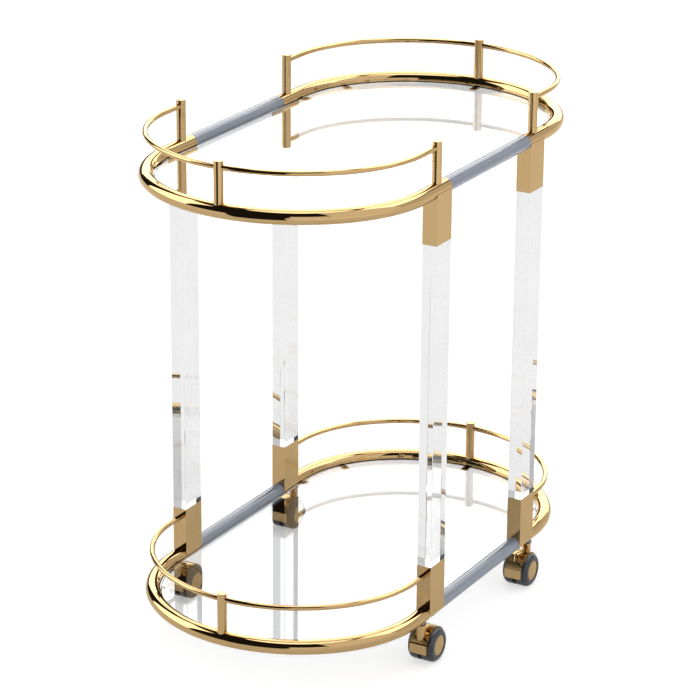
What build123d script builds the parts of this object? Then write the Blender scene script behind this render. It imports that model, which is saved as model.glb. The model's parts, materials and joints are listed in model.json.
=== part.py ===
"""Bar cart on wheels: two racetrack shelf rings on four clear legs and four hooded twin-wheel casters.

X runs along the cart, Y across it and Z up, with the origin on the floor under the centre.
Left is -X, right is +X, front is -Y and back is +Y. Millimetres.
"""

from build123d import *
import math
import os

os.makedirs("parts", exist_ok=True)

# ---------------------------------------------------------------- driving dimensions
# Plan of a shelf ring's centreline: straight sides, and a three-centred arc round each end
HALF_WIDTH = 240.0
STRAIGHT_HALF = 217.5
END_DEPTH = 222.0
NOSE_RADIUS = 252.0
NOSE_SETBACK = NOSE_RADIUS - END_DEPTH
NOSE_EXCESS = NOSE_RADIUS - HALF_WIDTH
SHOULDER_RADIUS = (NOSE_RADIUS**2 - HALF_WIDTH**2 - NOSE_SETBACK**2) / (2 * NOSE_EXCESS)
SHOULDER_TURN = 90 - math.degrees(math.atan2(HALF_WIDTH - SHOULDER_RADIUS, NOSE_SETBACK))
NOSE_TURN = 180 - 2 * SHOULDER_TURN
END_ARCS = ((SHOULDER_RADIUS, SHOULDER_TURN), (NOSE_RADIUS, NOSE_TURN), (SHOULDER_RADIUS, SHOULDER_TURN))
END_X = STRAIGHT_HALF + END_DEPTH

# Heights of the two ring centrelines above the floor
LOWER_RING_Z = 88.5
UPPER_RING_Z = 822.0

# Ring tubes and the clear rods between them
TUBE_RADIUS = 12.5
TUBE_WALL = 2.0
SPIGOT_RADIUS = 10.4
SPIGOT_LENGTH = 20.0

# Legs and their sockets
LEG_X = 167.0
LEG_LENGTH_X = 50.0
LEG_WIDTH_Y = 26.0
SOCKET_REACH = 87.0
SOCKET_WALL = 3.0
SOCKET_COPE_GAP = 2.0
SOCKET_PLATE = 4.0
TENON_LENGTH = 50.0
TENON_CLEARANCE = 0.2
LEG_CHAMFER = 0.8
SPLIT_X = LEG_X - LEG_LENGTH_X / 2

# Gallery rails and posts
RAIL_RISE = 70.0
RAIL_RADIUS = 4.5
RAIL_WALL = 1.2
RAIL_INSERTION = 6.0
POST_RISE = 81.0
POST_RADIUS = 8.0
POST_CHAMFER = 0.3
CORNER_POST_X = 171.0
POST_SPIGOT_RADIUS = 4.0
POST_SPIGOT_DEPTH = 6.0

# Studs and screws that clamp the legs
STUD_RADIUS = 3.0
STUD_HOLE_RADIUS = 3.2
STUD_DEPTH = 20.0
STUD_IN_POST = 16.0
SCREW_X = 160.0
SCREW_HEAD_RADIUS = 5.0
SCREW_HEAD_HEIGHT = 2.2

# Glass shelves, the tabs they stand on and the pads between
GLASS_INSET = 14.0
GLASS_THICKNESS = 6.0
GLASS_TOP_DROP = 3.0
GLASS_EDGE = 0.8
PAD_RADIUS = 3.5
PAD_HEIGHT = 1.0
PAD_INSET = 18.5
TAB_WIDTH = 12.0
TAB_LENGTH = 19.0
TAB_INSET = 4.0
TAB_THICKNESS = 2.5
TAB_STRAIGHT_X = 212.0
TAB_SHOULDER_TURN = 30.0

# Casters
STEM_X = 197.0
TRAIL = 21.0
WHEEL_RADIUS = 30.0
WHEEL_OUTER_Y = 24.0
WHEEL_INNER_Y = 3.2
WHEEL_SHOULDER = 9.0
WHEEL_INNER_SHOULDER = 1.2
WHEEL_BORE_Y = 20.0
AXLE_RADIUS = 3.0
RUNNING_GAP = 0.05
CAP_RADIUS = 17.5
CAP_RECESS = 1.5
CAP_RIM = 0.8
HOOD_HALF_WIDTH = 16.0
HOOD_RADIUS = 31.8
HOOD_ROOM_RADIUS = 30.8
HOOD_WEB_HALF = 2.6
BAND_REACH = 32.6
BAND_LOW = 22.0
BAND_HIGH = 39.0
BOSS_RADIUS = 7.3
BOSS_TOP = 72.1
BOSS_CHAMFER = 0.8
STEM_RADIUS = 4.0
STEM_FOOT_Z = 57.0
STEM_HEAD_Z = 92.0
COLLAR_RADIUS = 8.4
COLLAR_LOW = 72.4
COLLAR_HIGH = 74.6
INSERT_RADIUS = 5.5
INSERT_FLANGE_RADIUS = 7.6

SIDES = {"left": -1, "right": 1}
FACES = {"front": -1, "back": 1}
RINGS = {"lower": LOWER_RING_Z, "upper": UPPER_RING_Z}
RING_FOOT_Z = LOWER_RING_Z - TUBE_RADIUS


# ---------------------------------------------------------------- shared geometry
def save(piece, name):
    """Label a finished piece and write it as its own STEP file."""
    piece.part.label = name
    export_step(piece.part, f"parts/{name}.step")


def end_path(first_x, side, z):
    """Centreline round one end of a ring, from the front side to the back side."""
    with BuildLine() as path:
        run = Line((side * first_x, -HALF_WIDTH, z), (side * STRAIGHT_HALF, -HALF_WIDTH, z))
        for radius, turn in END_ARCS:
            run = JernArc(run @ 1, run % 1, radius, side * turn)
        Line(run @ 1, (side * first_x, HALF_WIDTH, z))
    return path.wire()


def swept_tube(path, radius, wall=0.0):
    """A round tube, or a solid bar where no wall is given, along a path."""
    with BuildPart() as tube:
        with BuildSketch(Plane(path @ 0, z_dir=path % 0)):
            Circle(radius)
            if wall:
                Circle(radius - wall, mode=Mode.SUBTRACT)
        sweep(path=path)
    return tube.part


def station(turn, side, inset):
    """Point on the end arc where the front path has turned by an angle, moved inwards by inset."""
    if turn <= SHOULDER_TURN:
        centre = (STRAIGHT_HALF, -(HALF_WIDTH - SHOULDER_RADIUS))
        reach = SHOULDER_RADIUS - inset
    else:
        centre = (END_X - NOSE_RADIUS, 0)
        reach = NOSE_RADIUS - inset
    angle = math.radians(turn - 90)
    return side * (centre[0] + reach * math.cos(angle)), centre[1] + reach * math.sin(angle)


def bar_along_x(radius, y, z, half_length):
    """A round bar along X, centred on the cart."""
    with BuildPart() as bar:
        with BuildSketch(Plane.YZ):
            with Locations((y, z)):
                Circle(radius)
        extrude(amount=half_length, both=True)
    return bar.part


# ---------------------------------------------------------------- shelf rings
def make_ring(level, side_name):
    """One gold end of a shelf ring: a bent tube drilled for what is fixed to it."""
    z = RINGS[level]
    side = SIDES[side_name]
    with BuildPart() as ring:
        add(swept_tube(end_path(SPLIT_X, side, z), TUBE_RADIUS, TUBE_WALL))
        with Locations((side * END_X, 0, z)):
            Cylinder(
                POST_SPIGOT_RADIUS,
                TUBE_RADIUS,
                align=(Align.CENTER, Align.CENTER, Align.MIN),
                mode=Mode.SUBTRACT,
            )
        for face in FACES.values():
            if level == "upper":
                with Locations((side * CORNER_POST_X, face * HALF_WIDTH, z)):
                    Cylinder(STUD_HOLE_RADIUS, 4 * TUBE_RADIUS, mode=Mode.SUBTRACT)
            else:
                with Locations((side * SCREW_X, face * HALF_WIDTH, z)):
                    Cylinder(STUD_HOLE_RADIUS, 4 * TUBE_RADIUS, mode=Mode.SUBTRACT)
                with Locations((side * STEM_X, face * HALF_WIDTH, z)):
                    Cylinder(
                        INSERT_RADIUS,
                        TUBE_RADIUS,
                        align=(Align.CENTER, Align.CENTER, Align.MAX),
                        mode=Mode.SUBTRACT,
                    )
    save(ring, f"{level}_ring_{side_name}")


def make_rod(level, face_name):
    """A clear rod between the two gold ends, with a spigot inside each tube."""
    z = RINGS[level]
    y = FACES[face_name] * HALF_WIDTH
    with BuildPart() as rod:
        add(bar_along_x(TUBE_RADIUS, y, z, SPLIT_X))
        add(bar_along_x(SPIGOT_RADIUS, y, z, SPLIT_X + SPIGOT_LENGTH))
        with Locations((-SCREW_X, y, z), (SCREW_X, y, z)):
            Cylinder(STUD_HOLE_RADIUS, 4 * TUBE_RADIUS, mode=Mode.SUBTRACT)
    save(rod, f"{level}_rod_{face_name}")


# ---------------------------------------------------------------- glass, tabs and pads
def make_glass(level):
    """A glass shelf with the ring's plan, set inside the tube."""
    top = RINGS[level] - GLASS_TOP_DROP
    edge_y = HALF_WIDTH - GLASS_INSET
    with BuildPart() as glass:
        with BuildSketch(Plane.XY.offset(top - GLASS_THICKNESS)):
            with BuildLine():
                for face in FACES.values():
                    run = Line((face * STRAIGHT_HALF, face * edge_y), (-face * STRAIGHT_HALF, face * edge_y))
                    for radius, turn in END_ARCS:
                        run = JernArc(run @ 1, run % 1, radius - GLASS_INSET, turn)
            make_face()
        extrude(amount=GLASS_THICKNESS)
        rims = glass.faces().filter_by(Axis.Z).edges()
        chamfer(rims, GLASS_EDGE)
    save(glass, f"{level}_glass_shelf")


def tab_stations(inset):
    """Plan point and inward direction, in degrees, of every shelf tab."""
    for side in SIDES.values():
        for face in FACES.values():
            yield side * TAB_STRAIGHT_X, face * (HALF_WIDTH - inset), -90 * face
            x, y = station(TAB_SHOULDER_TURN, side, inset)
            heading = TAB_SHOULDER_TURN + 90
            if side < 0:
                heading = 180 - heading
            yield x, -face * y, -face * heading
        yield side * (END_X - inset), 0, 90 + 90 * side


def make_tabs():
    """Flat tabs brazed under the ring tubes, all of both shelves in one node."""
    with BuildPart() as tabs:
        for z in RINGS.values():
            top = z - GLASS_TOP_DROP - GLASS_THICKNESS - PAD_HEIGHT
            for x, y, heading in tab_stations(TAB_INSET):
                with Locations(Location((x, y, top), (0, 0, heading))):
                    Box(TAB_LENGTH, TAB_WIDTH, TAB_THICKNESS, align=(Align.MIN, Align.CENTER, Align.MAX))
            for side in SIDES.values():
                add(swept_tube(end_path(SPLIT_X, side, z), TUBE_RADIUS), mode=Mode.SUBTRACT)
    save(tabs, "shelf_tabs")


def make_pads():
    """Clear pads between the tabs and the glass, all of both shelves in one node."""
    with BuildPart() as pads:
        for z in RINGS.values():
            top = z - GLASS_TOP_DROP - GLASS_THICKNESS
            for x, y, _ in tab_stations(PAD_INSET):
                with Locations((x, y, top)):
                    Cylinder(PAD_RADIUS, PAD_HEIGHT, align=(Align.CENTER, Align.CENTER, Align.MAX))
    save(pads, "shelf_pads")


# ---------------------------------------------------------------- gallery rails and posts
def rail_start(level):
    """Where a rail ends: inside a corner post above, in the socket's wall below."""
    if level == "upper":
        return CORNER_POST_X + POST_RADIUS - RAIL_INSERTION
    return LEG_X + LEG_LENGTH_X / 2 - SOCKET_WALL


def make_rail(level, side_name):
    """A thin gallery rail round one end."""
    with BuildPart() as rail:
        path = end_path(rail_start(level), SIDES[side_name], RINGS[level] + RAIL_RISE)
        add(swept_tube(path, RAIL_RADIUS, RAIL_WALL))
    save(rail, f"{level}_rail_{side_name}")


def make_post(level, side_name, place):
    """A round post saddled on the ring tube, bored for the rail."""
    z = RINGS[level]
    side = SIDES[side_name]
    corner = place in FACES
    x = side * (CORNER_POST_X if corner else END_X)
    y = FACES[place] * HALF_WIDTH if corner else 0
    with BuildPart() as post:
        with BuildSketch(Plane.XY.offset(z)):
            with Locations((x, y)):
                Circle(POST_RADIUS)
        extrude(amount=POST_RISE)
        chamfer(post.faces().sort_by(Axis.Z)[-1].edges(), POST_CHAMFER)
        add(swept_tube(end_path(SPLIT_X, side, z), TUBE_RADIUS), mode=Mode.SUBTRACT)
        add(swept_tube(end_path(rail_start(level), side, z + RAIL_RISE), RAIL_RADIUS), mode=Mode.SUBTRACT)
        if corner:
            with Locations((x, y, z + TUBE_RADIUS + STUD_IN_POST)):
                Cylinder(
                    STUD_RADIUS,
                    2 * STUD_IN_POST,
                    align=(Align.CENTER, Align.CENTER, Align.MAX),
                    mode=Mode.SUBTRACT,
                )
        else:
            with Locations((x, y, z + POST_SPIGOT_DEPTH)):
                Cylinder(
                    POST_SPIGOT_RADIUS,
                    2 * POST_SPIGOT_DEPTH,
                    align=(Align.CENTER, Align.CENTER, Align.MIN),
                )
    save(post, f"{level}_post_{side_name}_{place}")


# ---------------------------------------------------------------- legs, sockets and their screws
def corner_point(side_name, face_name):
    return SIDES[side_name] * LEG_X, FACES[face_name] * HALF_WIDTH


def make_socket(level, side_name, face_name):
    """A rectangular tube coped round the ring, with a plate that the leg's tenon stands on."""
    x, y = corner_point(side_name, face_name)
    ring_z = RINGS[level]
    up = 1 if level == "lower" else -1
    mouth_z = ring_z + up * SOCKET_REACH
    foot_z = ring_z + up * SOCKET_COPE_GAP
    plate_z = mouth_z - up * TENON_LENGTH
    stud_x = SIDES[side_name] * (SCREW_X if level == "lower" else CORNER_POST_X)
    inner = (LEG_LENGTH_X - 2 * SOCKET_WALL, LEG_WIDTH_Y - 2 * SOCKET_WALL)
    with BuildPart() as socket:
        with BuildSketch(Plane.XY.offset(foot_z)):
            with Locations((x, y)):
                Rectangle(LEG_LENGTH_X, LEG_WIDTH_Y)
        extrude(amount=mouth_z - foot_z)
        with BuildSketch(Plane.XY.offset(mouth_z)):
            with Locations((x, y)):
                Rectangle(*inner)
        extrude(amount=plate_z - mouth_z, mode=Mode.SUBTRACT)
        with BuildSketch(Plane.XY.offset(foot_z)):
            with Locations((x, y)):
                Rectangle(*inner)
        extrude(amount=plate_z - up * SOCKET_PLATE - foot_z, mode=Mode.SUBTRACT)
        add(bar_along_x(TUBE_RADIUS, y, ring_z, 2 * LEG_X), mode=Mode.SUBTRACT)
        with Locations((stud_x, y, plate_z)):
            Cylinder(STUD_HOLE_RADIUS, 4 * SOCKET_PLATE, mode=Mode.SUBTRACT)
        if level == "lower":
            path = end_path(rail_start(level), SIDES[side_name], ring_z + RAIL_RISE)
            add(swept_tube(path, RAIL_RADIUS), mode=Mode.SUBTRACT)
    save(socket, f"{level}_socket_{side_name}_{face_name}")


def make_leg(side_name, face_name):
    """A clear bar with a tenon and a tapped hole at each end."""
    x, y = corner_point(side_name, face_name)
    low = LOWER_RING_Z + SOCKET_REACH
    high = UPPER_RING_Z - SOCKET_REACH
    tenon = (
        LEG_LENGTH_X - 2 * SOCKET_WALL - 2 * TENON_CLEARANCE,
        LEG_WIDTH_Y - 2 * SOCKET_WALL - 2 * TENON_CLEARANCE,
    )
    with BuildPart() as leg:
        with BuildSketch(Plane.XY.offset(low)):
            with Locations((x, y)):
                Rectangle(LEG_LENGTH_X, LEG_WIDTH_Y)
        extrude(amount=high - low)
        chamfer(leg.edges().filter_by(Axis.Z), LEG_CHAMFER)
        with BuildSketch(Plane.XY.offset(low - TENON_LENGTH)):
            with Locations((x, y)):
                Rectangle(*tenon)
        extrude(amount=high - low + 2 * TENON_LENGTH)
        with Locations((SIDES[side_name] * SCREW_X, y, low - TENON_LENGTH)):
            Cylinder(STUD_RADIUS, 2 * STUD_DEPTH, mode=Mode.SUBTRACT)
        with Locations((SIDES[side_name] * CORNER_POST_X, y, high + TENON_LENGTH)):
            Cylinder(STUD_RADIUS, 2 * STUD_DEPTH, mode=Mode.SUBTRACT)
    save(leg, f"leg_{side_name}_{face_name}")


def make_leg_studs():
    """Four studs that run from the upper corner posts through ring and socket into the legs."""
    foot_z = UPPER_RING_Z - SOCKET_REACH + TENON_LENGTH - STUD_DEPTH
    head_z = UPPER_RING_Z + TUBE_RADIUS + STUD_IN_POST
    with BuildPart() as studs:
        with BuildSketch(Plane.XY.offset(foot_z)):
            with GridLocations(2 * CORNER_POST_X, 2 * HALF_WIDTH, 2, 2):
                Circle(STUD_RADIUS)
        extrude(amount=head_z - foot_z)
    save(studs, "leg_studs")


def make_leg_screws():
    """Four screws that run up from under the lower ring into the legs."""
    tip_z = LOWER_RING_Z + SOCKET_REACH - TENON_LENGTH + STUD_DEPTH
    with BuildPart() as screws:
        with BuildSketch(Plane.XY.offset(RING_FOOT_Z)):
            with GridLocations(2 * SCREW_X, 2 * HALF_WIDTH, 2, 2):
                Circle(STUD_RADIUS)
        extrude(amount=tip_z - RING_FOOT_Z)
        with BuildSketch(Plane.XY.offset(RING_FOOT_Z)):
            with GridLocations(2 * SCREW_X, 2 * HALF_WIDTH, 2, 2):
                Circle(SCREW_HEAD_RADIUS)
        extrude(amount=-SCREW_HEAD_HEIGHT)
    save(screws, "leg_screws")


# ---------------------------------------------------------------- casters
def wheel_centre(side_name, face_name):
    return SIDES[side_name] * (STEM_X - TRAIL), FACES[face_name] * HALF_WIDTH


def make_hood(side_name, face_name):
    """The swivelling hood: a shell over both wheels, a web between them and a stem boss."""
    x, y = wheel_centre(side_name, face_name)
    stem = (SIDES[side_name] * STEM_X, y)
    middle = Plane.XZ.offset(-y)
    with BuildPart() as hood:
        with BuildSketch(middle):
            with Locations((x, WHEEL_RADIUS)):
                Circle(HOOD_RADIUS)
            with Locations((x, (BAND_LOW + BAND_HIGH) / 2)):
                Rectangle(2 * BAND_REACH, BAND_HIGH - BAND_LOW)
            with Locations((x, 0)):
                Rectangle(4 * BAND_REACH, 2 * BAND_LOW, mode=Mode.SUBTRACT)
        extrude(amount=HOOD_HALF_WIDTH, both=True)
        with BuildSketch(Plane.XY.offset(BAND_HIGH)):
            with Locations(stem):
                Circle(BOSS_RADIUS)
        extrude(amount=BOSS_TOP - BAND_HIGH)
        chamfer(hood.faces().sort_by(Axis.Z)[-1].edges(), BOSS_CHAMFER)
        for face in FACES.values():
            with BuildSketch(middle.offset(face * HOOD_WEB_HALF)):
                with Locations((x, WHEEL_RADIUS)):
                    Circle(HOOD_ROOM_RADIUS)
            extrude(amount=face * WHEEL_OUTER_Y, mode=Mode.SUBTRACT)
        with BuildSketch(middle):
            with Locations((x, WHEEL_RADIUS)):
                Circle(AXLE_RADIUS + RUNNING_GAP)
        extrude(amount=HOOD_HALF_WIDTH, both=True, mode=Mode.SUBTRACT)
        with BuildSketch(Plane.XY.offset(STEM_FOOT_Z)):
            with Locations(stem):
                Circle(STEM_RADIUS + RUNNING_GAP)
        extrude(amount=BOSS_TOP - STEM_FOOT_Z, mode=Mode.SUBTRACT)
    save(hood, f"caster_hood_{side_name}_{face_name}")


def make_wheels(side_name, face_name):
    """Both soft-shouldered wheels of one caster, each recessed for its hub cap."""
    x, y = wheel_centre(side_name, face_name)
    axis = Axis((x, y, WHEEL_RADIUS), (0, 1, 0))
    with BuildPart() as wheels:
        with BuildSketch(Plane.YZ.offset(x)):
            with Locations((y + WHEEL_INNER_Y, WHEEL_RADIUS)):
                rim = Rectangle(WHEEL_OUTER_Y - WHEEL_INNER_Y, WHEEL_RADIUS, align=(Align.MIN, Align.MIN))
            tread_ends = rim.vertices().group_by(Axis.Z)[-1].sort_by(Axis.Y)
            fillet(tread_ends[-1], WHEEL_SHOULDER)
            fillet(tread_ends[0], WHEEL_INNER_SHOULDER)
            with Locations((y + WHEEL_INNER_Y, WHEEL_RADIUS)):
                Rectangle(
                    WHEEL_BORE_Y - WHEEL_INNER_Y,
                    AXLE_RADIUS,
                    align=(Align.MIN, Align.MIN),
                    mode=Mode.SUBTRACT,
                )
            with Locations((y + WHEEL_OUTER_Y, WHEEL_RADIUS)):
                Rectangle(CAP_RECESS, CAP_RADIUS, align=(Align.MAX, Align.MIN), mode=Mode.SUBTRACT)
        revolve(axis=axis)
        mirror(about=Plane.XZ.offset(-y))
    save(wheels, f"caster_wheels_{side_name}_{face_name}")


def make_caps(side_name, face_name):
    """The two domed hub caps of one caster."""
    x, y = wheel_centre(side_name, face_name)
    seat = y + WHEEL_OUTER_Y - CAP_RECESS
    crown = y + WHEEL_OUTER_Y
    with BuildPart() as caps:
        with BuildSketch(Plane.YZ.offset(x)):
            with BuildLine():
                Polyline(
                    (crown, WHEEL_RADIUS),
                    (seat, WHEEL_RADIUS),
                    (seat, WHEEL_RADIUS + CAP_RADIUS),
                    (seat + CAP_RIM, WHEEL_RADIUS + CAP_RADIUS),
                )
                RadiusArc(
                    (seat + CAP_RIM, WHEEL_RADIUS + CAP_RADIUS),
                    (crown, WHEEL_RADIUS),
                    (CAP_RADIUS**2 + (CAP_RECESS - CAP_RIM) ** 2) / (2 * (CAP_RECESS - CAP_RIM)),
                )
            make_face()
        revolve(axis=Axis((x, y, WHEEL_RADIUS), (0, 1, 0)))
        mirror(about=Plane.XZ.offset(-y))
    save(caps, f"caster_caps_{side_name}_{face_name}")


def make_axle(side_name, face_name):
    """The steel axle that both wheels are pressed on."""
    x, y = wheel_centre(side_name, face_name)
    with BuildPart() as axle:
        with BuildSketch(Plane.XZ.offset(-y)):
            with Locations((x, WHEEL_RADIUS)):
                Circle(AXLE_RADIUS)
        extrude(amount=WHEEL_BORE_Y, both=True)
    save(axle, f"caster_axle_{side_name}_{face_name}")


def make_stem(side_name, face_name):
    """The fixed steel stem that the hood turns on."""
    with BuildPart() as stem:
        with BuildSketch(Plane.XY.offset(STEM_FOOT_Z + 2 * RUNNING_GAP)):
            with Locations((SIDES[side_name] * STEM_X, FACES[face_name] * HALF_WIDTH)):
                Circle(STEM_RADIUS)
        extrude(amount=STEM_HEAD_Z - STEM_FOOT_Z)
    save(stem, f"caster_stem_{side_name}_{face_name}")


def make_washers(name, rings):
    """Four identical turned parts on the stems, from (low, high, outer radius) steps."""
    with BuildPart() as washers:
        for low, high, radius in rings:
            with BuildSketch(Plane.XY.offset(low)):
                with GridLocations(2 * STEM_X, 2 * HALF_WIDTH, 2, 2):
                    Circle(radius)
                    Circle(STEM_RADIUS, mode=Mode.SUBTRACT)
            extrude(amount=high - low)
    save(washers, name)


# ---------------------------------------------------------------- build every piece
for level_name in RINGS:
    for end in SIDES:
        make_ring(level_name, end)
        make_rail(level_name, end)
        make_post(level_name, end, "middle")
        for flank in FACES:
            make_socket(level_name, end, flank)
    for flank in FACES:
        make_rod(level_name, flank)
    make_glass(level_name)

for end in SIDES:
    for flank in FACES:
        make_post("upper", end, flank)
        make_leg(end, flank)
        make_hood(end, flank)
        make_wheels(end, flank)
        make_caps(end, flank)
        make_axle(end, flank)
        make_stem(end, flank)

make_tabs()
make_pads()
make_leg_studs()
make_leg_screws()
make_washers("caster_collars", [(COLLAR_LOW, COLLAR_HIGH, COLLAR_RADIUS)])
make_washers(
    "caster_inserts",
    [(COLLAR_HIGH, RING_FOOT_Z, INSERT_FLANGE_RADIUS), (RING_FOOT_Z, STEM_HEAD_Z, INSERT_RADIUS)],
)
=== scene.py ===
import json
import math

import bpy
from mathutils import Matrix, Vector


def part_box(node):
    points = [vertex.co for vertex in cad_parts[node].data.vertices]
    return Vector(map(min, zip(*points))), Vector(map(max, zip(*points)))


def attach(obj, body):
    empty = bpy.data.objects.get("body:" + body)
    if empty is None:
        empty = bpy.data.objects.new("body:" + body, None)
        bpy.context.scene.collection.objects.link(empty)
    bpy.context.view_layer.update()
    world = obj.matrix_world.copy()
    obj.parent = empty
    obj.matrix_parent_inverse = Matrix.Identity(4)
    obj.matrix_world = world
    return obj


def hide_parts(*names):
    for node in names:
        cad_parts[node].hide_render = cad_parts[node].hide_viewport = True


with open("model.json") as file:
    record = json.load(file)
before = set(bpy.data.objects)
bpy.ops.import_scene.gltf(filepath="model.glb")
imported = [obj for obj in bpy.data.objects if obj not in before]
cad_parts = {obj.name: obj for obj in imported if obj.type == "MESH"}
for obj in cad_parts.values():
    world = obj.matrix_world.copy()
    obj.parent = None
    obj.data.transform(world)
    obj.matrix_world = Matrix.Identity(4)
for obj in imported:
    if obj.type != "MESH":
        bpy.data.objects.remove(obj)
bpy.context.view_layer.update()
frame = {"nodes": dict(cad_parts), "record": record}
NODES = frame["nodes"]
WHITE = (1.0, 1.0, 1.0, 1.0)


# ---------------------------------------------------------------- shader node helpers
def new_material(name):
    """A new material, its node tree and its Principled shader."""
    mat = bpy.data.materials.new(name)
    mat.use_nodes = True
    tree = mat.node_tree
    return mat, tree, tree.nodes["Principled BSDF"]


def object_noise(tree, scale, detail=3.0):
    """Noise fixed to the object's own metres."""
    coords = tree.nodes.new("ShaderNodeTexCoord")
    noise = tree.nodes.new("ShaderNodeTexNoise")
    noise.inputs["Scale"].default_value = scale
    noise.inputs["Detail"].default_value = detail
    noise.inputs["Roughness"].default_value = 0.55
    tree.links.new(coords.outputs["Object"], noise.inputs["Vector"])
    return noise.outputs["Fac"]


def remap(tree, value, source, target, interpolation="LINEAR"):
    """Map a value from one (low, high) range to another, clamped."""
    node = tree.nodes.new("ShaderNodeMapRange")
    node.interpolation_type = interpolation
    node.inputs["From Min"].default_value, node.inputs["From Max"].default_value = source
    node.inputs["To Min"].default_value, node.inputs["To Max"].default_value = target
    tree.links.new(value, node.inputs["Value"])
    return node.outputs["Result"]


def math_node(tree, operation, *values):
    """One operation on sockets and plain numbers."""
    node = tree.nodes.new("ShaderNodeMath")
    node.operation = operation
    for socket, value in zip(node.inputs, values):
        if isinstance(value, (int, float)):
            socket.default_value = value
        else:
            tree.links.new(value, socket)
    return node.outputs["Value"]


def split_xyz(tree, vector):
    """The X, Y and Z sockets of a vector, by name."""
    node = tree.nodes.new("ShaderNodeSeparateXYZ")
    tree.links.new(vector, node.inputs["Vector"])
    return node.outputs


def ramp(tree, value, stops):
    """Colour ramp from (position, colour) stops."""
    node = tree.nodes.new("ShaderNodeValToRGB")
    elements = node.color_ramp.elements
    while len(elements) < len(stops):
        elements.new(0.5)
    for element, (position, colour) in zip(elements, stops):
        element.position = position
        element.color = (*colour, 1.0)
    tree.links.new(value, node.inputs["Fac"])
    return node.outputs["Color"]


def colour_by(tree, shader, value, stops):
    """Base colour that follows a value through a ramp."""
    tree.links.new(ramp(tree, value, stops), shader.inputs["Base Color"])


def roughness_by(tree, shader, value, source, target):
    """Roughness that follows a value from one range to another."""
    tree.links.new(remap(tree, value, source, target), shader.inputs["Roughness"])


def bump(tree, shader, height, strength, distance):
    """Feed a height into the shader's normal."""
    node = tree.nodes.new("ShaderNodeBump")
    node.inputs["Strength"].default_value = strength
    node.inputs["Distance"].default_value = distance
    tree.links.new(height, node.inputs["Height"])
    tree.links.new(node.outputs["Normal"], shader.inputs["Normal"])


# ---------------------------------------------------------------- materials
ACRYLIC_IOR = 1.49
SOFT_PAD_IOR = 1.41
# a little over plain float glass, so that the shelves mirror the posts strongly
GLASS_IOR = 1.6
GLASS_EDGE_COLOUR = (0.25, 0.26, 0.28, 1.0)
# how upright a normal is, from 0 on the edge to 1 on a face, where edge turns into face
GLASS_EDGE_TO_FACE = (0.3, 0.9)


def gold_material():
    """Mirror-polished gold plating with faint handling haze."""
    mat, tree, shader = new_material("polished_gold")
    shader.inputs["Metallic"].default_value = 1.0
    shader.inputs["Specular Tint"].default_value = (1.0, 0.94, 0.80, 1.0)
    tone = object_noise(tree, scale=9.0)
    colour_by(tree, shader, tone, [(0.3, (0.530, 0.358, 0.168)), (0.7, (0.560, 0.382, 0.182))])
    haze = object_noise(tree, scale=38.0, detail=5.0)
    roughness_by(tree, shader, haze, source=(0.35, 0.75), target=(0.02, 0.06))
    ripple = object_noise(tree, scale=420.0, detail=2.0)
    bump(tree, shader, ripple, strength=0.02, distance=0.0002)
    return mat


def steel_material():
    """Bright zinc-plated steel."""
    mat, tree, shader = new_material("bright_steel")
    shader.inputs["Metallic"].default_value = 1.0
    tone = object_noise(tree, scale=60.0)
    colour_by(tree, shader, tone, [(0.3, (0.52, 0.52, 0.53)), (0.7, (0.63, 0.63, 0.64))])
    grain = object_noise(tree, scale=300.0)
    roughness_by(tree, shader, grain, source=(0.3, 0.7), target=(0.22, 0.34))
    return mat


def clear_material(name, low, high, roughness, ior, clarity=1.0):
    """A clear solid whose tint runs between two close colours, with its roughness varied by half."""
    mat, tree, shader = new_material(name)
    shader.inputs["Transmission Weight"].default_value = clarity
    shader.inputs["IOR"].default_value = ior
    tone = object_noise(tree, scale=12.0)
    colour_by(tree, shader, tone, [(0.35, low), (0.65, high)])
    haze = object_noise(tree, scale=55.0, detail=4.0)
    roughness_by(tree, shader, haze, source=(0.35, 0.75), target=(roughness * 0.5, roughness * 1.5))
    return mat


def leg_material():
    """Clear acrylic, a little grey as thick bar is."""
    low, high = (0.70, 0.70, 0.70), (0.73, 0.73, 0.73)
    return clear_material("clear_leg", low, high, roughness=0.0004, ior=ACRYLIC_IOR)


def rod_material():
    """Blue-grey acrylic that is more tinted than clear."""
    low, high = (0.30, 0.335, 0.395), (0.33, 0.365, 0.425)
    return clear_material("tinted_rod", low, high, roughness=0.001, ior=ACRYLIC_IOR, clarity=0.4)


def pad_material():
    """Soft translucent pad under the glass."""
    low, high = (0.88, 0.90, 0.90), (0.92, 0.93, 0.93)
    return clear_material("clear_pad", low, high, roughness=0.2, ior=SOFT_PAD_IOR)


def glass_material():
    """Clear float glass whose edge is greyer than its faces."""
    low, high = (0.785, 0.79, 0.795), (0.80, 0.805, 0.81)
    mat = clear_material("shelf_glass", low, high, roughness=0.0008, ior=GLASS_IOR)
    tree = mat.node_tree
    base_colour = tree.nodes["Principled BSDF"].inputs["Base Color"]
    face_colour = base_colour.links[0].from_socket
    normal = tree.nodes.new("ShaderNodeTexCoord").outputs["Normal"]
    upright = math_node(tree, "ABSOLUTE", split_xyz(tree, normal)["Z"])
    mix = tree.nodes.new("ShaderNodeMix")
    mix.data_type = "RGBA"
    mix.inputs["A"].default_value = GLASS_EDGE_COLOUR
    tree.links.new(remap(tree, upright, GLASS_EDGE_TO_FACE, (0.0, 1.0)), mix.inputs["Factor"])
    tree.links.new(face_colour, mix.inputs["B"])
    tree.links.new(mix.outputs["Result"], base_colour)
    return mat


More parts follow.
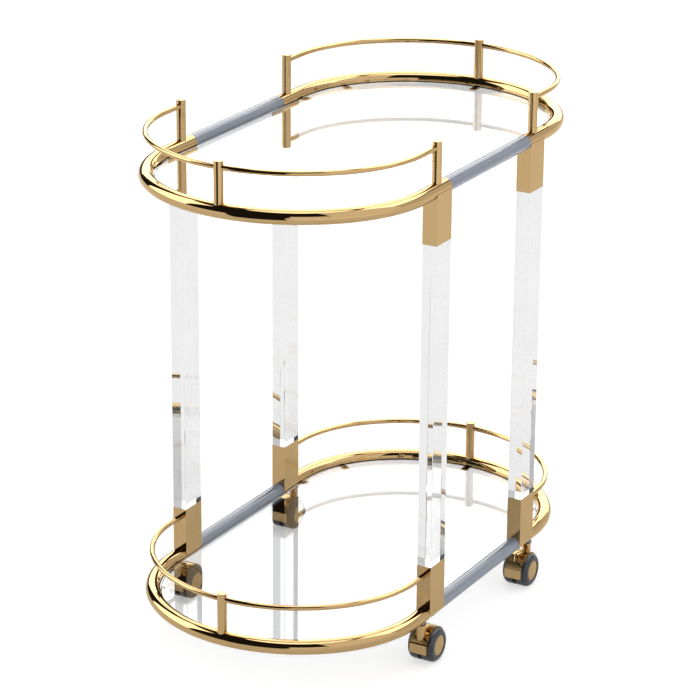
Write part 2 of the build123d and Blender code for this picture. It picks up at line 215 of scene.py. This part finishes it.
def wheel_material():
    """Dark slate moulded nylon with a fine grain and dusty wear."""
    mat, tree, shader = new_material("wheel_tread")
    dust = object_noise(tree, scale=120.0, detail=5.0)
    colour_by(tree, shader, dust, [(0.35, (0.016, 0.019, 0.026)), (0.75, (0.030, 0.035, 0.044))])
    roughness_by(tree, shader, dust, source=(0.3, 0.8), target=(0.16, 0.34))
    grain = object_noise(tree, scale=1800.0, detail=2.0)
    bump(tree, shader, grain, strength=0.08, distance=0.0003)
    return mat


def collar_material():
    """Black moulded nylon."""
    mat, tree, shader = new_material("dark_collar")
    tone = object_noise(tree, scale=200.0)
    colour_by(tree, shader, tone, [(0.3, (0.022, 0.022, 0.024)), (0.7, (0.036, 0.036, 0.038))])
    grain = object_noise(tree, scale=500.0)
    roughness_by(tree, shader, grain, source=(0.3, 0.7), target=(0.38, 0.5))
    return mat


MATERIALS = {
    "polished_gold": gold_material(),
    "bright_steel": steel_material(),
    "clear_leg": leg_material(),
    "tinted_rod": rod_material(),
    "shelf_glass": glass_material(),
    "wheel_tread": wheel_material(),
    "dark_collar": collar_material(),
    "clear_pad": pad_material(),
}

# faces that meet at less than this many degrees shade as one
SMOOTH_ANGLE = 30


def paint(obj, slot):
    obj.data.materials.clear()
    obj.data.materials.append(MATERIALS[slot])


def smooth_by_angle(obj):
    obj.data.shade_smooth()
    obj.data.set_sharp_from_angle(angle=math.radians(SMOOTH_ANGLE))


for part in frame["record"]["subparts"]:
    node = NODES[part["node"]]
    paint(node, part["material_slot"])
    smooth_by_angle(node)


# ---------------------------------------------------------------- clear legs and rods
SIDES = ("left", "right")
FACES = ("front", "back")
# metres: the hairline between a bar's end and the metal, and the leg's bevel
SHOULDER_GAP = 0.00015
LEG_EDGE = 0.0008
ROD_SEGMENTS = 96


def mesh_piece(name, verts, polys, slot, body, stands_for):
    """A new mesh that rides on a body and stands for CAD nodes."""
    mesh = bpy.data.meshes.new(name)
    mesh.from_pydata(verts, [], polys)
    mesh.validate()
    piece = bpy.data.objects.new(name, mesh)
    bpy.context.scene.collection.objects.link(piece)
    paint(piece, slot)
    smooth_by_angle(piece)
    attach(piece, body)
    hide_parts(*stands_for)
    return piece


def prism(outline, low, high, along):
    """A closed prism: a 2-D outline swept between two places along Z, or along X."""
    count = len(outline)
    place = {"z": lambda p, h: (p[0], p[1], h), "x": lambda p, h: (h, p[0], p[1])}[along]
    verts = [place(point, low) for point in outline] + [place(point, high) for point in outline]
    sides = [(i, (i + 1) % count, count + (i + 1) % count, count + i) for i in range(count)]
    return verts, [tuple(reversed(range(count))), tuple(range(count, 2 * count)), *sides]


def bevelled_rectangle(low, high, edge):
    (x0, y0), (x1, y1) = low, high
    return [
        (x0 + edge, y0), (x1 - edge, y0), (x1, y0 + edge), (x1, y1 - edge),
        (x1 - edge, y1), (x0 + edge, y1), (x0, y1 - edge), (x0, y0 + edge),
    ]


def circle(centre, radius, segments):
    turns = [2 * math.pi * i / segments for i in range(segments)]
    return [(centre[0] + radius * math.cos(t), centre[1] + radius * math.sin(t)) for t in turns]


def make_legs():
    """Each leg as the solid bar that shows, from block to block; its tenons stay hidden in the blocks."""
    for side in SIDES:
        for face in FACES:
            node = f"leg_{side}_{face}"
            low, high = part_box(node)
            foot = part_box(f"lower_socket_{side}_{face}")[1].z + SHOULDER_GAP
            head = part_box(f"upper_socket_{side}_{face}")[0].z - SHOULDER_GAP
            outline = bevelled_rectangle(low.xy, high.xy, LEG_EDGE)
            mesh_piece(f"clear_{node}", *prism(outline, foot, head, "z"), "clear_leg", "frame", [node])


def make_rods():
    """Each rod as the round bar that shows between the gold tubes; its spigots stay hidden in them."""
    for level in ("lower", "upper"):
        for face in FACES:
            node = f"{level}_rod_{face}"
            low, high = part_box(node)
            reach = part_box(f"{level}_ring_right")[0].x - SHOULDER_GAP
            centre = ((low.y + high.y) / 2, (low.z + high.z) / 2)
            outline = circle(centre, (high.y - low.y) / 2, ROD_SEGMENTS)
            mesh_piece(f"clear_{node}", *prism(outline, -reach, reach, "x"), "tinted_rod", "frame", [node])


make_legs()
make_rods()


# ---------------------------------------------------------------- stage: a round white floor, in metres
NEAR_FLOOR_REACH = 1.6
FAR_FLOOR_REACH = 30.0
FLOOR_SEGMENTS = 64
FLOOR_COLOUR = (0.62, 0.62, 0.62, 1.0)
FLOOR_GLOW = 0.60
MIRRORED_FLOOR_GLOW = 0.30


def floor_material():
    """A matt floor that also glows, so that shadows stay faint. Mirror images of it glow less."""
    mat, tree, shader = new_material("studio_floor")
    shader.inputs["Base Color"].default_value = FLOOR_COLOUR
    shader.inputs["Roughness"].default_value = 1.0
    shader.inputs["Specular IOR Level"].default_value = 0.0
    shader.inputs["Emission Color"].default_value = WHITE
    rays = tree.nodes.new("ShaderNodeLightPath").outputs
    # a ray through clear material counts as glossy too, so those are taken off again
    mirrored = math_node(tree, "SUBTRACT", rays["Is Glossy Ray"], rays["Is Transmission Ray"])
    mirrored.node.use_clamp = True
    glow = remap(tree, mirrored, (0.0, 1.0), (FLOOR_GLOW, MIRRORED_FLOOR_GLOW))
    tree.links.new(glow, shader.inputs["Emission Strength"])
    return mat


def stage_floor():
    """The floor under the cart, and a ring round it that polished surfaces don't mirror."""
    material = floor_material()
    inner = circle((0, 0), NEAR_FLOOR_REACH, FLOOR_SEGMENTS)
    outer = circle((0, 0), FAR_FLOOR_REACH, FLOOR_SEGMENTS)
    near = bpy.data.meshes.new("near_floor")
    near.from_pydata([(x, y, 0) for x, y in inner], [], [tuple(range(FLOOR_SEGMENTS))])
    far = bpy.data.meshes.new("far_floor")
    band = [(i, FLOOR_SEGMENTS + i, FLOOR_SEGMENTS + (i + 1) % FLOOR_SEGMENTS, (i + 1) % FLOOR_SEGMENTS)
            for i in range(FLOOR_SEGMENTS)]
    far.from_pydata([(x, y, 0) for x, y in inner + outer], [], band)
    for mesh in (near, far):
        mesh.materials.append(material)
        plane = bpy.data.objects.new(mesh.name, mesh)
        bpy.context.scene.collection.objects.link(plane)
        plane.visible_glossy = mesh is near


stage_floor()


# ---------------------------------------------------------------- world: white sweep, mirrored light boxes
DIFFUSE_LEVEL = 0.896
CAMERA_LEVEL = 1.0
DARK_LEVEL = 0.016
FULL_TURN = 360
# (azimuth from, to, elevation from, to, level) of each light box that polished surfaces reflect, in degrees
LIGHT_BOXES = [
    (-70, -5, -2, 27, 0.8),
    (-70, -5, 31, 66, 2.96),
    (-5, 24, 3, 66, 3.04),
    (24, 57, 11, 66, 3.4),
    (80, 125, 2, 50, 2.96),
    (203, 230, -2, 20, 1.08),
    (230, 292, -2, 68, 1.08),
    (-180, 180, 71, 91, 2.96),
    (-180, 180, -91, -1, 1.0),
    (205, 285, -30, -4, 1.16),
]
# one dark side of the studio, in the same angles, and how many degrees every edge takes to fade each way
DARK_FLAG = (158, 200, -40, 20)
EDGE_SOFTNESS = 1.2


def window(tree, value, low, high):
    """1 between two angles and 0 outside, with soft edges."""
    rise = remap(tree, value, (low - EDGE_SOFTNESS, low + EDGE_SOFTNESS), (0.0, 1.0), "SMOOTHSTEP")
    fall = remap(tree, value, (high + EDGE_SOFTNESS, high - EDGE_SOFTNESS), (0.0, 1.0), "SMOOTHSTEP")
    return math_node(tree, "MULTIPLY", rise, fall)


def sky_patch(tree, direction, elevation, angles):
    """1 inside a patch of the sky and 0 outside. The azimuth is measured from the patch's middle."""
    az_low, az_high, el_low, el_high = angles
    height = window(tree, elevation, el_low, el_high)
    if az_high - az_low >= FULL_TURN:
        return height
    turn = tree.nodes.new("ShaderNodeVectorRotate")
    turn.rotation_type = "Z_AXIS"
    turn.inputs["Angle"].default_value = -math.radians((az_low + az_high) / 2)
    tree.links.new(direction, turn.inputs["Vector"])
    parts = split_xyz(tree, turn.outputs["Vector"])
    azimuth = math_node(tree, "DEGREES", math_node(tree, "ARCTAN2", parts["Y"], parts["X"]))
    half = (az_high - az_low) / 2
    return math_node(tree, "MULTIPLY", window(tree, azimuth, -half, half), height)


def studio_level(tree):
    """How bright the studio is in each direction: the brightest box there, unless the flag hides it."""
    direction = tree.nodes.new("ShaderNodeTexCoord").outputs["Generated"]
    elevation = math_node(tree, "DEGREES", math_node(tree, "ARCSINE", split_xyz(tree, direction)["Z"]))
    brightest = DARK_LEVEL
    for *angles, level in LIGHT_BOXES:
        box = math_node(tree, "MULTIPLY", sky_patch(tree, direction, elevation, angles), level)
        brightest = math_node(tree, "MAXIMUM", brightest, box)
    unflagged = math_node(tree, "SUBTRACT", 1.0, sky_patch(tree, direction, elevation, DARK_FLAG))
    return math_node(tree, "MAXIMUM", math_node(tree, "MULTIPLY", brightest, unflagged), DARK_LEVEL)


def make_world():
    """A plain sweep to the camera and to diffuse rays, and the studio to mirrored and refracted ones."""
    world = bpy.data.worlds.new("studio")
    bpy.context.scene.world = world
    world.use_nodes = True
    tree = world.node_tree
    tree.nodes.clear()

    rays = tree.nodes.new("ShaderNodeLightPath").outputs
    glossy = rays["Is Glossy Ray"]
    camera_extra = math_node(tree, "MULTIPLY", rays["Is Camera Ray"], CAMERA_LEVEL - DIFFUSE_LEVEL)
    sweep = math_node(tree, "ADD", DIFFUSE_LEVEL, camera_extra)
    sweep_share = math_node(tree, "MULTIPLY", sweep, math_node(tree, "SUBTRACT", 1.0, glossy))
    studio_share = math_node(tree, "MULTIPLY", studio_level(tree), glossy)
    level = math_node(tree, "ADD", sweep_share, studio_share)

    background = tree.nodes.new("ShaderNodeBackground")
    background.inputs["Color"].default_value = WHITE
    tree.links.new(level, background.inputs["Strength"])
    output = tree.nodes.new("ShaderNodeOutputWorld")
    tree.links.new(background.outputs["Background"], output.inputs["Surface"])


make_world()


# ---------------------------------------------------------------- overhead light, in metres and watts
KEY_SIZE = (3.0, 2.2)
KEY_PLACE = (0.6, 0.4, 3.2)
KEY_POWER = 12.0


def key_light():
    """A large overhead box that gives the faint floor shadow its direction."""
    light = bpy.data.lights.new("overhead_box", "AREA")
    light.shape = "RECTANGLE"
    light.size, light.size_y = KEY_SIZE
    light.energy = KEY_POWER
    lamp = bpy.data.objects.new("overhead_box", light)
    lamp.location = KEY_PLACE
    lamp.visible_glossy = False
    lamp.visible_transmission = False
    bpy.context.scene.collection.objects.link(lamp)


key_light()


# ---------------------------------------------------------------- camera, in metres, degrees and millimetres
CAMERA_PLACE = (-4.2052, -2.3575, 2.2228)
CAMERA_YAW = 30.09
CAMERA_PITCH = 20.42
CAMERA_ROLL = 0.20
CAMERA_LENS = 154.03
CAMERA_SENSOR = 36.0
# in widths of the frame
CAMERA_SHIFT = (0.0486, 0.0184)


def make_camera():
    """The camera, turned by its yaw from +X and its pitch below the horizon, then rolled."""
    data = bpy.data.cameras.new("camera")
    data.lens = CAMERA_LENS
    data.sensor_width = CAMERA_SENSOR
    data.shift_x, data.shift_y = CAMERA_SHIFT
    camera = bpy.data.objects.new("camera", data)
    camera.location = CAMERA_PLACE
    yaw, pitch = math.radians(CAMERA_YAW), math.radians(CAMERA_PITCH)
    look = Vector((math.cos(yaw) * math.cos(pitch), math.sin(yaw) * math.cos(pitch), -math.sin(pitch)))
    turn = look.to_track_quat("-Z", "Y").to_matrix().to_4x4()
    roll = math.radians(CAMERA_ROLL)
    camera.rotation_euler = (turn @ Matrix.Rotation(roll, 4, "Z")).to_euler()
    bpy.context.scene.collection.objects.link(camera)
    bpy.context.scene.camera = camera


make_camera()
view = bpy.context.scene.view_settings
view.view_transform = "Standard"
view.look = "None"
